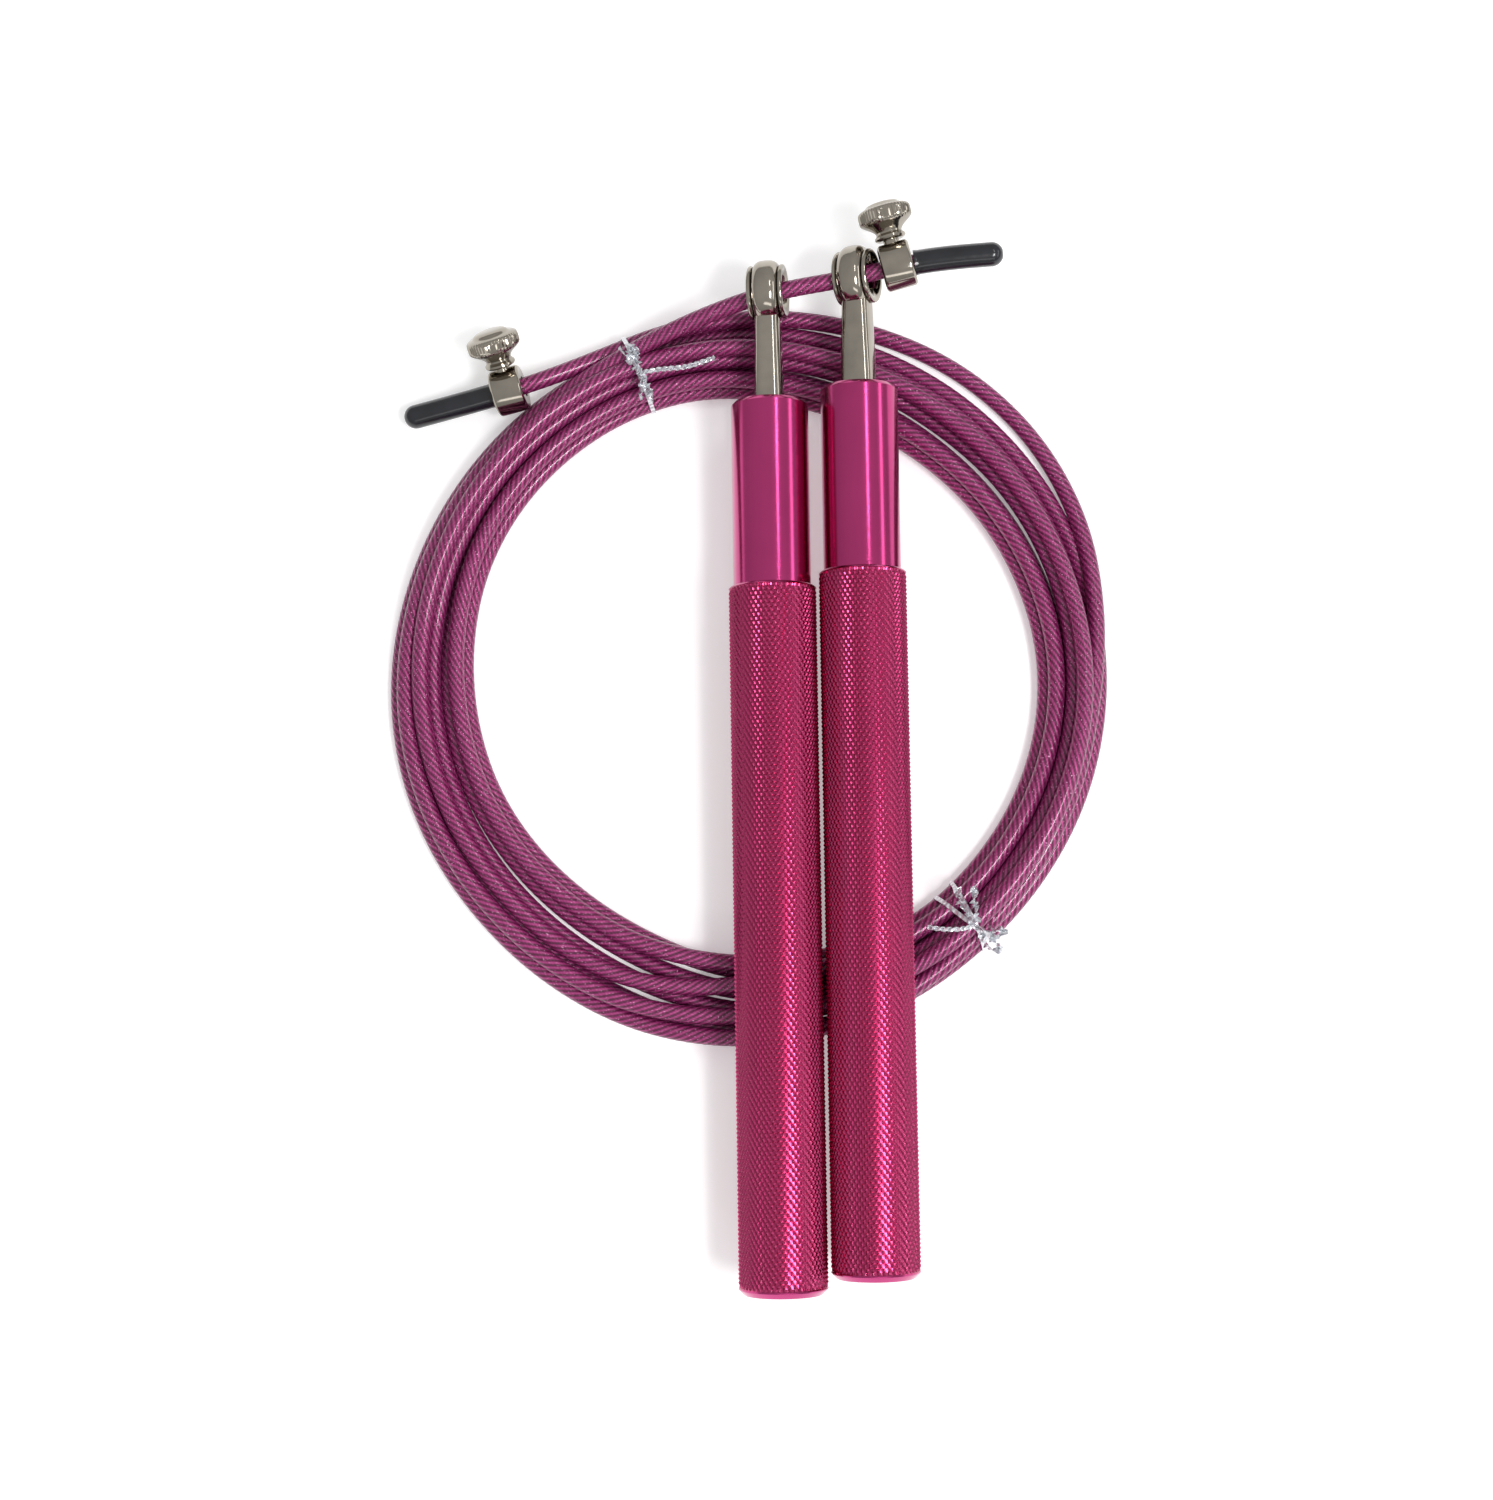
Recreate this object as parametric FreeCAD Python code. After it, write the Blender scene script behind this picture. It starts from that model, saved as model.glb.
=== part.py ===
"""Speed jump rope: two anodised handles turning on ball bearings, threaded on a coiled, coated wire rope.

Millimetres.  The origin is midway between the two handles' axes, halfway along the pair.  +Y runs along
the handles towards their eyes, +X from the left handle to the right one, +Z up.  The rope lies on a
surface at z = SURFACE_Z.
"""
import FreeCAD
import Part
import math
import os

V = FreeCAD.Vector
ORIGIN = V(0, 0, 0)
X_AXIS = V(1, 0, 0)
Y_AXIS = V(0, 1, 0)
Z_AXIS = V(0, 0, 1)

# ---- driving dimensions -------------------------------------------------------------------------
CABLE_R = 1.55            # coated wire rope
GRIP_R = 7.7              # knurled grip, over the tips
NECK_R = 6.8
NECK_L = 32.8
GRIP_L = 121.7
BORE_R = 5.5              # bore of the handle, and the bearings' outside
FRONT_WALL = 1.5
FRONT_HOLE_R = 3.6
HEAD_R = 5.6              # ring at the end of the shaft
HEAD_W = 4.8
NECK_START = 19.9         # from the eye's centre to the end face of the handle
SHAFT_R = 3.3
JOURNAL_R = 2.5
BEARING_W = 5.0
SPACER_L = 10.0
HANDLE_GAP = 0.4          # between the two grips
STAGGER = 2.5             # the right handle lies this much further along +Y
EYE_ROLL = {"left": 10.0, "right": 22.0}   # degrees that each eye's bore rises towards +X
BUSH_HALF = 3.2
BUSH_BORE_R = 2.65
BUSH_OUTER_R = 3.2
FLANGE_R = 4.8
COIL_H = 5.8
REST_GAP = 0.25           # between the coil and the grips that lie on it
COLLAR_R = 4.15
COLLAR_L = 5.6
CAP_R = 2.15
CAP_L = 17.0

# ---- layout -------------------------------------------------------------------------------------
AXIS_X = GRIP_R + HANDLE_GAP / 2
SURFACE_Z = -(COIL_H + REST_GAP + GRIP_R)
HANDLE_END = NECK_START + NECK_L + GRIP_L
RIGHT_EYE_Y = (HEAD_R + STAGGER + HANDLE_END) / 2 - HEAD_R
EYES = {"left": V(-AXIS_X, RIGHT_EYE_Y - STAGGER, 0), "right": V(AXIS_X, RIGHT_EYE_Y, 0)}
COIL_CENTRE = V(-12.4, 14.35, SURFACE_Z)

# the band of the coil: angle in degrees, inner radius, outer radius
COIL_BAND = [
    (0, 52.0, 64.2), (30, 50.8, 68.8), (55, 51.0, 70.4), (85, 52.5, 68.6), (110, 53.4, 64.4),
    (135, 52.3, 63.6), (180, 48.8, 64.2), (225, 46.2, 63.2), (270, 46.8, 64.8), (312, 50.4, 62.6),
]

# the two free ends of the cable, as points along each, from the coil outwards
LEAD_ROUTE = [
    V(-33.4, 74.3, -7.0), V(-20.9, 79.35, -2.95), V(-7.9, 83.15, 0), V(7.9, 85.65, 0),
    V(19.45, 88.3, 1.85), V(30.7, 91.35, 4.6),
]
TAIL_ROUTE = [
    V(-40.4, 71.9, -8.6), V(-51.1, 68.9, -7.35), V(-62.0, 66.2, -8.8), V(-72.3, 64.0, -10.5),
]
COLLAR_AT = {"left": 3.5, "right": 7.5}     # collar's centre, from the route point it follows
SCREW_TILT = {"left": 28.0, "right": 8.0}   # degrees that each thumb screw leans up from level

TIE_W = 1.4
TIE_T = 0.5
TIES = {"upper": (110.5, V(13.2, 3.2, 0.4)), "lower": (312.0, V(-8.0, -0.5, 0.4))}

NODES = {}


def turned(profile, axis=-Y_AXIS):
    """Solid of revolution; the profile is a closed list of (distance along the axis, radius)."""
    side = Z_AXIS
    wire = Part.makePolygon([axis * s + side * r for s, r in profile + profile[:1]])
    return Part.Face(wire).revolve(ORIGIN, axis, 360)


def ring(start, length, outer, inner, axis=-Y_AXIS):
    """Plain tube along the axis."""
    end = start + length
    return turned([(start, inner), (start, outer), (end, outer), (end, inner)], axis)


def one(shape):
    """The shape cleaned and, where it holds a single solid, as that solid."""
    clean = shape.removeSplitter()
    return clean.Solids[0] if len(clean.Solids) == 1 else clean


# ---- parts of one handle, about the -Y axis, distances from the eye's centre ----------------------
FRONT_BEARING = NECK_START + FRONT_WALL
REAR_BEARING = FRONT_BEARING + BEARING_W + SPACER_L
CLIP_START = REAR_BEARING + BEARING_W
CLIP_T = 0.8
CLIP_GROOVE_R = BORE_R + 0.3
NUT_T = 3.0
PITCH_R = 4.0
BALL_R = 1.0
BALLS = 8
OUTER_RACE_R = 4.6
INNER_RACE_R = 3.45


def handle_tube():
    """Neck and grip in one turned tube, with the front wall, the bore and the clip groove."""
    shoulder = NECK_START + NECK_L
    chamfer = 0.5
    clip_end = CLIP_START + CLIP_T
    return one(turned([
        (NECK_START, FRONT_HOLE_R), (NECK_START, NECK_R - chamfer), (NECK_START + chamfer, NECK_R),
        (shoulder, NECK_R), (shoulder, GRIP_R - 2 * chamfer), (shoulder + 2 * chamfer, GRIP_R),
        (HANDLE_END - 2 * chamfer, GRIP_R), (HANDLE_END, GRIP_R - 2 * chamfer), (HANDLE_END, BORE_R),
        (clip_end, BORE_R), (clip_end, CLIP_GROOVE_R), (CLIP_START, CLIP_GROOVE_R), (CLIP_START, BORE_R),
        (FRONT_BEARING, BORE_R), (FRONT_BEARING, FRONT_HOLE_R),
    ]))


def end_plug():
    """Disc pressed into the open end of the grip."""
    recess, length, chamfer = 0.4, 8.0, 0.5
    face = HANDLE_END - recess
    return turned([
        (face - length, 0), (face - length, BORE_R - chamfer), (face - length + chamfer, BORE_R),
        (face - chamfer, BORE_R), (face, BORE_R - chamfer), (face, 0),
    ])


def race_groove(start):
    """Torus that the balls run in."""
    centre = -Y_AXIS * (start + BEARING_W / 2)
    return Part.makeTorus(PITCH_R, BALL_R + 0.03, centre, Y_AXIS)


def bearing(start):
    """One deep-groove ball bearing as its separate pieces."""
    middle = start + BEARING_W / 2
    shield_t, shield_gap, pocket = 0.25, 0.15, BALL_R + 0.05
    outer = ring(start, BEARING_W, BORE_R, OUTER_RACE_R).cut(race_groove(start))
    inner = ring(start, BEARING_W, INNER_RACE_R, JOURNAL_R).cut(race_groove(start))
    balls = []
    cage = ring(middle - 1.3, 2.6, 4.3, 3.7)
    for i in range(BALLS):
        a = 2 * math.pi * (i + 0.5) / BALLS
        centre = V(PITCH_R * math.cos(a), -middle, PITCH_R * math.sin(a))
        balls.append(Part.makeSphere(BALL_R, centre))
        cage = cage.cut(Part.makeSphere(pocket, centre))
    shields = [
        ring(s, shield_t, OUTER_RACE_R, INNER_RACE_R + shield_gap)
        for s in (start, start + BEARING_W - shield_t)
    ]
    return {
        "outer_ring": one(outer), "inner_ring": one(inner), "balls": Part.makeCompound(balls),
        "cage": one(cage), "shields": Part.makeCompound(shields),
    }


def circlip():
    """Sprung ring that holds the rear bearing, open at one side."""
    clip = ring(CLIP_START, CLIP_T, CLIP_GROOVE_R - 0.05, 4.85)
    opening = Part.makeBox(4, 2 * CLIP_T, 4, V(-2, -CLIP_START - 1.5 * CLIP_T, 3))
    return one(clip.cut(opening))


def lock_nut():
    """Slotted round nut that clamps the bearings' inner rings on the shaft."""
    start = CLIP_START
    face_t = 0.5                              # raised face that bears on the inner ring only
    face = ring(start, face_t, INNER_RACE_R, JOURNAL_R)
    nut = face.fuse(ring(start + face_t, NUT_T - face_t, 4.2, JOURNAL_R)).removeSplitter()
    slot = Part.makeBox(10, 1.2, 1.2, V(-5, -start - NUT_T, -0.6))
    return one(nut.cut(slot))


def shaft():
    """Steel shaft: the ring head, tapered cheeks, the body and the journal for the bearings."""
    corner = 1.7
    half = HEAD_W / 2
    low, high = BUSH_OUTER_R, HEAD_R
    bend = corner * (1 - math.sqrt(0.5))
    outline = [
        Part.LineSegment(V(-half, 0, low), V(-half, 0, high - corner)),
        Part.Arc(V(-half, 0, high - corner), V(-half + bend, 0, high - bend), V(-half + corner, 0, high)),
        Part.LineSegment(V(-half + corner, 0, high), V(half - corner, 0, high)),
        Part.Arc(V(half - corner, 0, high), V(half - bend, 0, high - bend), V(half, 0, high - corner)),
        Part.LineSegment(V(half, 0, high - corner), V(half, 0, low)),
        Part.LineSegment(V(half, 0, low), V(-half, 0, low)),
    ]
    head = Part.Face(Part.Wire([e.toShape() for e in outline])).revolve(ORIGIN, X_AXIS, 360)
    shoulder = FRONT_BEARING
    tip = CLIP_START + NUT_T + 1.0
    chamfer = 0.4
    rod = turned([
        (4.2, 0), (4.2, SHAFT_R), (shoulder, SHAFT_R), (shoulder, JOURNAL_R),
        (tip - chamfer, JOURNAL_R), (tip, JOURNAL_R - chamfer), (tip, 0),
    ])
    cheek_end = 12.0
    for side in (-1, 1):
        wedge = Part.makePolygon([
            V(side * (half - 0.3), -4, -5), V(side * SHAFT_R, -cheek_end, -5),
            V(side * 5, -cheek_end, -5), V(side * 5, -4, -5), V(side * (half - 0.3), -4, -5),
        ])
        rod = rod.cut(Part.Face(wedge).extrude(Z_AXIS * 10))
    rod = rod.cut(Part.makeCylinder(4.4, 10, V(-5, 0, 0), X_AXIS))
    return one(head.fuse(rod))


def eye_bush():
    """Flanged eyelet in the ring head, flared at both mouths for the cable."""
    flare = 1.7
    inside = HEAD_W / 2
    mouth = BUSH_BORE_R + flare
    bend = flare * math.sqrt(0.5)
    start = BUSH_HALF - flare

    def point(x, r):
        return V(x, 0, r)

    right_flare = Part.Arc(point(start, BUSH_BORE_R), point(start + bend, mouth - bend), point(BUSH_HALF, mouth))
    left_flare = Part.Arc(point(-BUSH_HALF, mouth), point(-start - bend, mouth - bend), point(-start, BUSH_BORE_R))
    corners = [
        point(BUSH_HALF, mouth), point(BUSH_HALF, FLANGE_R - 0.4), point(BUSH_HALF - 0.4, FLANGE_R),
        point(inside, FLANGE_R), point(inside, BUSH_OUTER_R), point(-inside, BUSH_OUTER_R),
        point(-inside, FLANGE_R), point(-BUSH_HALF + 0.4, FLANGE_R), point(-BUSH_HALF, FLANGE_R - 0.4),
        point(-BUSH_HALF, mouth),
    ]
    edges = [Part.LineSegment(a, b).toShape() for a, b in zip(corners, corners[1:])]
    edges += [left_flare.toShape(), Part.LineSegment(point(-start, BUSH_BORE_R), point(start, BUSH_BORE_R)).toShape()]
    edges.append(right_flare.toShape())
    return one(Part.Face(Part.Wire(Part.__sortEdges__(edges))).revolve(ORIGIN, X_AXIS, 360))


def build_handle(side):
    """All pieces of one handle, rolled about its axis and moved to its eye."""
    pieces = {
        "handle_tube": handle_tube(), "end_plug": end_plug(), "shaft": shaft(), "eye_bush": eye_bush(),
        "bearing_spacer": ring(FRONT_BEARING + BEARING_W, SPACER_L, SHAFT_R, JOURNAL_R),
        "lock_nut": lock_nut(), "circlip": circlip(),
    }
    for place, start in (("front", FRONT_BEARING), ("rear", REAR_BEARING)):
        for name, shape in bearing(start).items():
            pieces[f"{place}_{name}"] = shape
    for name, shape in pieces.items():
        shape.rotate(ORIGIN, Y_AXIS, -EYE_ROLL[side])
        shape.translate(EYES[side])
        NODES[f"{side}_{name}"] = shape


# ---- the cable ----------------------------------------------------------------------------------
def cable_tube(points, name):
    """Round tube along straight runs joined by tangent arcs, as large as the runs allow."""
    edges = []
    start = points[0]
    for before, here, after in zip(points, points[1:], points[2:]):
        back = (before - here).normalize()
        ahead = (after - here).normalize()
        turn = math.pi - back.getAngle(ahead)
        reach = 0.45 * min((before - here).Length, (after - here).Length)
        radius = reach / math.tan(turn / 2)
        first = here + back * reach
        last = here + ahead * reach
        inward = (back + ahead).normalize()
        middle = here + inward * (radius / math.cos(turn / 2) - radius)
        edges.append(Part.LineSegment(start, first).toShape())
        edges.append(Part.Arc(first, middle, last).toShape())
        print(f"{name}: bend radius {radius:.1f}")
        start = last
    edges.append(Part.LineSegment(start, points[-1]).toShape())
    length = sum(edge.Length for edge in edges)
    section = Part.Wire(Part.makeCircle(CABLE_R, points[0], points[1] - points[0]))
    tube = Part.Wire(edges).makePipeShell([section], True, False)
    wanted = math.pi * CABLE_R ** 2 * length
    print(f"{name}: length {length:.1f}, volume {tube.Volume:.1f}, section x length {wanted:.1f}")
    return tube


def closed_outline(radii):
    """Closed smooth curve through (angle, radius) points about the coil's centre."""
    points = []
    for angle, radius in radii:
        a = math.radians(angle)
        points.append(COIL_CENTRE + V(radius * math.cos(a), radius * math.sin(a), 0))
    curve = Part.BSplineCurve()
    curve.interpolate(Points=points, PeriodicFlag=True)
    return Part.Wire(curve.toShape())


def coil_block():
    """Outer shape of the whole coil: a flat band, wider where the turns spread."""
    outer = Part.Face(closed_outline([(a, r_out) for a, r_in, r_out in COIL_BAND])).extrude(Z_AXIS * COIL_H)
    inner = Part.Face(closed_outline([(a, r_in) for a, r_in, r_out in COIL_BAND])).extrude(Z_AXIS * COIL_H)
    block = outer.cut(inner)
    rims = [e for e in block.Edges if e.BoundBox.ZLength < 0.01]
    return block.makeFillet(CABLE_R, rims)


def twist_tie(angle, tail):
    """Flat wire loop round the coil, and its twisted tail lying on top."""
    r_in, r_out = [band[1:] for band in COIL_BAND if abs(band[0] - angle) < 1][0]
    height = COIL_H + TIE_T
    outside = Part.makeBox(r_out - r_in + 2 * TIE_T, TIE_W, height, V(r_in - TIE_T, -TIE_W / 2, 0))
    inside = Part.makeBox(r_out - r_in, TIE_W, COIL_H - TIE_T, V(r_in, -TIE_W / 2, TIE_T))
    loop = outside.cut(inside)
    loop.rotate(ORIGIN, Z_AXIS, angle)
    loop.translate(COIL_CENTRE)
    a = math.radians(angle)
    middle = (r_in + r_out) / 2 + 1.5
    knot = COIL_CENTRE + V(middle * math.cos(a), middle * math.sin(a), height)
    return one(loop.fuse(Part.makeCylinder(TIE_T, tail.Length, knot, tail)))


# ---- the locks on the cable's ends --------------------------------------------------------------
def collar(centre, along, screw):
    """Ring on the cable with a tapped cross hole for the thumb screw."""
    start = centre - along * (COLLAR_L / 2)
    body = Part.makeCylinder(COLLAR_R, COLLAR_L, start, along)
    rims = [e for e in body.Edges if e.Closed and e.Length < 7 * COLLAR_R]
    body = body.makeChamfer(0.35, rims)
    body = body.cut(Part.makeCylinder(CABLE_R + 0.3, COLLAR_L, start, along))
    return one(body.cut(Part.makeCylinder(1.5, COLLAR_R + 1, centre, screw)))


def thumb_screw(centre, screw):
    """Set screw with a small flange and a wide rimmed head."""
    body = turned([
        (CABLE_R + 0.2, 0), (CABLE_R + 0.2, 1.0), (CABLE_R + 0.6, 1.42), (4.7, 1.42), (4.7, 2.5),
        (5.0, 2.85), (5.6, 2.85), (6.0, 2.1), (6.5, 2.1), (7.6, 4.2), (7.9, 4.75), (10.1, 4.75),
        (10.5, 4.3), (10.6, 3.2), (11.3, 2.9), (11.5, 2.4), (11.5, 0),
    ], Y_AXIS)
    body.Placement = FreeCAD.Placement(centre, FreeCAD.Rotation(Y_AXIS, screw))
    return body


def end_cap(start, along):
    """Dipped vinyl cap with a domed tip."""
    straight = CAP_L - CAP_R
    body = Part.makeCylinder(CAP_R, straight, start, along)
    return one(body.fuse(Part.makeSphere(CAP_R, start + along * straight)))


def build_lock(side, joint, towards_end, tube):
    """Collar, thumb screw and cap on the end run of the cable that starts at joint."""
    along = (towards_end - joint).normalize()
    centre = joint + along * COLLAR_AT[side]
    flat = Z_AXIS.cross(along)
    if flat.y < 0:
        flat = -flat
    flat.normalize()
    upward = along.cross(flat)
    if upward.z < 0:
        upward = -upward
    tilt = math.radians(SCREW_TILT[side])
    screw = (flat * math.cos(tilt) + upward * math.sin(tilt)).normalize()
    cap_start = centre + along * (COLLAR_L / 2 + 0.1)
    NODES[f"{side}_collar"] = collar(centre, along, screw)
    NODES[f"{side}_thumb_screw"] = thumb_screw(centre, screw)
    NODES[f"{side}_end_cap"] = one(end_cap(cap_start, along).cut(tube))
    print(f"{side} screw: at {list(centre)}, axis {list(screw)}")


def build_cable():
    """Coil, its two free ends, the ties and the locks."""
    coil = coil_block()
    for name, (angle, tail) in TIES.items():
        NODES[f"{name}_twist_tie"] = twist_tie(angle, tail)
        coil = coil.cut(NODES[f"{name}_twist_tie"])
    lead = cable_tube(LEAD_ROUTE, "lead")
    tail = cable_tube(TAIL_ROUTE, "tail")
    build_lock("right", LEAD_ROUTE[3], LEAD_ROUTE[4], lead)
    build_lock("left", TAIL_ROUTE[1], TAIL_ROUTE[2], tail)
    NODES["cable_coil"] = one(coil)
    NODES["cable_lead"] = one(lead.cut(coil))
    NODES["cable_tail"] = one(tail.cut(coil))


def main():
    build_cable()
    for side in EYES:
        build_handle(side)
    os.makedirs("parts", exist_ok=True)
    for name, shape in sorted(NODES.items()):
        shape.exportStep(f"parts/{name}.step")
        print(f"{name}: solids {len(shape.Solids)}, valid {shape.isValid()}, volume {shape.Volume:.1f}")
    whole = Part.makeCompound(list(NODES.values())).BoundBox
    print("box", whole)


main()
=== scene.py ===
"""Speed jump rope: knurled anodised handles on bearing swivels, threaded on a coiled, coated wire rope."""
import math

import bpy
import numpy as np
from mathutils import Matrix, Vector


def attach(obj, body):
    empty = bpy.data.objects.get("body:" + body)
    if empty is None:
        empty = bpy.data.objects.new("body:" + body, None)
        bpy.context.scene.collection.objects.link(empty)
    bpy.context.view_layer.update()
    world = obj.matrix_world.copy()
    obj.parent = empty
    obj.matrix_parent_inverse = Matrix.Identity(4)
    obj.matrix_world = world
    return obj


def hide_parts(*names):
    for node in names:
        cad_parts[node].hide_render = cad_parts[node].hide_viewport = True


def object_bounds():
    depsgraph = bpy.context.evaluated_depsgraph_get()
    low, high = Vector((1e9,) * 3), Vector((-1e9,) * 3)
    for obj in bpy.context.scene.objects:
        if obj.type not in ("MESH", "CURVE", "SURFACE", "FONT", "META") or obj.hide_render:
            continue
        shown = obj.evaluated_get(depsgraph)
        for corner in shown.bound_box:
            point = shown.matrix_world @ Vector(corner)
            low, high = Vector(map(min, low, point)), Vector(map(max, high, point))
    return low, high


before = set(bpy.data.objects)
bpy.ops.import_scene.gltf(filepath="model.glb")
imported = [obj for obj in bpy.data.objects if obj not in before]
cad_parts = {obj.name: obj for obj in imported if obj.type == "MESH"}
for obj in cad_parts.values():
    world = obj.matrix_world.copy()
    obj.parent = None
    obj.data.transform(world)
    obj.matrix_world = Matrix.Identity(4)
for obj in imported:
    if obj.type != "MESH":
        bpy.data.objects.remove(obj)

MM = 0.001
cad_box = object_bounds()
TAU = 2 * math.pi

# ---- sizes of the rope, in metres -----------------------------------------------------------------
CABLE_R = 1.55 * MM
CABLE_D = 2 * CABLE_R
STRANDS = 9                    # strands seen around the cable
STRAND_LAY = 14.0 * MM         # length of one full twist
FLOOR_Z = cad_box[0][2]
COIL_CENTRE = np.array([-12.4, 14.35]) * MM


# ==== meshes ======================================================================================
def make_piece(name, points, faces, smooth_under=35.0):
    """Mesh object at the origin; edges bent by more than smooth_under degrees stay crisp."""
    mesh = bpy.data.meshes.new(name)
    mesh.from_pydata(points, [], faces)
    mesh.validate()
    mesh.update()
    mesh.shade_smooth()
    mesh.set_sharp_from_angle(angle=math.radians(smooth_under))
    piece = bpy.data.objects.new(name, mesh)
    bpy.context.scene.collection.objects.link(piece)
    return piece


def grid_faces(rows, columns, wrap_rows=False, wrap_columns=True):
    """Quads of a grid of points stored row by row, closed across either direction if asked."""
    i = np.arange(rows if wrap_rows else rows - 1)[:, None]
    j = np.arange(columns if wrap_columns else columns - 1)[None, :]
    i2 = (i + 1) % rows
    j2 = (j + 1) % columns
    quads = np.stack([i * columns + j, i * columns + j2, i2 * columns + j2, i2 * columns + j], axis=-1)
    return quads.reshape(-1, 4)


def outward(points, quads):
    """The same faces, turned round if the volume they enclose comes out negative."""
    a, b, c, d = (points[quads[:, k]] for k in range(4))
    volume = np.sum(a * np.cross(b, c)) + np.sum(a * np.cross(c, d))
    return quads if volume > 0 else quads[:, ::-1]


def with_lids(points, columns):
    """Tube of rings of points, closed by a flat face at each end and facing outwards."""
    quads = outward(points, grid_faces(len(points) // columns, columns))
    first, last = list(range(columns)), list(range(len(points) - columns, len(points)))
    forward = quads[0, 1] == quads[0, 0] + 1
    lids = [first[::-1], last] if forward else [first, last[::-1]]
    return points, quads.tolist() + lids


def turned(profile, columns, frame_at, ripple=0.0):
    """Surface of revolution: a point is centre + axis * s + radius * (side cos a + up sin a).

    The profile is a list of (s, radius): a closed loop, or a line from pole to pole if its ends have
    radius 0.  Ripple, one number or one row of them for each profile point, is taken off the radius.
    """
    centre, axis, side, up = frame_at
    poles = profile[0][1] == 0 and profile[-1][1] == 0
    s, radius = np.array(profile, float).T[:, :, None]
    a = np.arange(columns)[None, :] * TAU / columns
    radius = radius - ripple + 0 * a
    points = (centre + s[..., None] * axis
              + (radius * np.cos(a))[..., None] * side + (radius * np.sin(a))[..., None] * up).reshape(-1, 3)
    quads = outward(points, grid_faces(len(profile), columns, wrap_rows=not poles))
    if not poles:
        return points, quads.tolist()
    count = len(profile)
    keep = np.concatenate([np.zeros(columns, int), np.arange(columns * (count - 2)) + 1,
                           np.full(columns, columns * (count - 2) + 1)])
    points = np.concatenate([points[:1], points[columns:-columns], points[-1:]])
    faces = [list(dict.fromkeys(face)) for face in keep[quads].tolist()]
    return points, faces


def joined(*parts):
    """Several (points, faces) sets as one; faces keep their own corner counts."""
    points, faces, start = [], [], 0
    for part_points, part_faces in parts:
        points.append(part_points)
        faces += [[int(v) + start for v in face] for face in part_faces]
        start += len(part_points)
    return np.concatenate(points), faces


def arc(centre_s, centre_r, radius, first, last, steps):
    """Profile points on a circular arc; angles in degrees from the +s direction towards +r."""
    a = np.radians(np.linspace(first, last, steps))
    return [(centre_s + radius * math.cos(t), centre_r + radius * math.sin(t)) for t in a]


def frame_along(centre, axis, side_hint=(0, 0, 1)):
    """Right-handed frame (centre, axis, side, up) so that side x up runs along the axis."""
    axis = np.array(axis, float) / np.linalg.norm(axis)
    side = np.array(side_hint, float) - np.dot(side_hint, axis) * axis
    side /= np.linalg.norm(side)
    return np.array(centre, float), axis, side, np.cross(axis, side)


# ==== materials ===================================================================================
class Finish:
    """One node material with short helpers; everything reads Object coordinates or the UV map."""

    def __init__(self, name):
        self.material = bpy.data.materials.new(name)
        self.material.use_nodes = True
        self.nodes = self.material.node_tree.nodes
        self.links = self.material.node_tree.links
        self.shader = self.nodes["Principled BSDF"]
        self.place = self.nodes.new("ShaderNodeTexCoord")

    def set(self, **values):
        for key, value in values.items():
            self.shader.inputs[key.replace("_", " ")].default_value = value

    def add(self, kind, inputs=None, **settings):
        node = self.nodes.new(kind)
        for key, value in settings.items():
            setattr(node, key, value)
        for key, value in (inputs or {}).items():
            self.connect(value, node.inputs[key])
        return node

    def connect(self, value, socket):
        if isinstance(value, bpy.types.NodeSocket):
            self.links.new(value, socket)
        elif isinstance(value, bpy.types.Node):
            self.links.new(value.outputs[0], socket)
        else:
            socket.default_value = value

    def noise(self, scale, detail=3.0, stretch=(1, 1, 1)):
        """Cloudy value between 0 and 1, with scale lumps to a metre."""
        mapped = self.add("ShaderNodeMapping", {"Vector": self.place.outputs["Object"], "Scale": stretch})
        cloud = self.add("ShaderNodeTexNoise", {"Vector": mapped, "Scale": scale, "Detail": detail})
        return cloud.outputs["Fac"]

    def math(self, operation, a, b=0.0):
        return self.add("ShaderNodeMath", {0: a, 1: b}, operation=operation).outputs[0]

    def between(self, fac, low, high):
        """Value that follows fac from low to high."""
        return self.add("ShaderNodeMapRange", {"Value": fac, "To Min": low, "To Max": high}).outputs[0]

    def ramp(self, fac, *stops):
        """Colour ramp; each stop is (position, (r, g, b))."""
        node = self.add("ShaderNodeValToRGB", {"Fac": fac})
        elements = node.color_ramp.elements
        while len(elements) < len(stops):
            elements.new(0.5)
        for element, (position, colour) in zip(elements, stops):
            element.position = position
            element.color = (*colour, 1)
        return node.outputs["Color"]

    def mix(self, fac, low, high):
        """Colour that goes from low to high as fac goes from 0 to 1."""
        node = self.add("ShaderNodeMix", {6: low, 7: high}, data_type="RGBA", blend_type="MIX")
        self.connect(fac, node.inputs[0])
        return node.outputs[2]

    def attribute(self, name):
        return self.add("ShaderNodeAttribute", attribute_name=name).outputs["Fac"]

    def bump(self, height, distance, strength=1.0):
        inputs = {"Height": height, "Distance": distance, "Strength": strength}
        return self.add("ShaderNodeBump", inputs).outputs["Normal"]

    def drive(self, **sockets):
        for key, value in sockets.items():
            self.connect(value, self.shader.inputs[key.replace("_", " ")])


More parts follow.
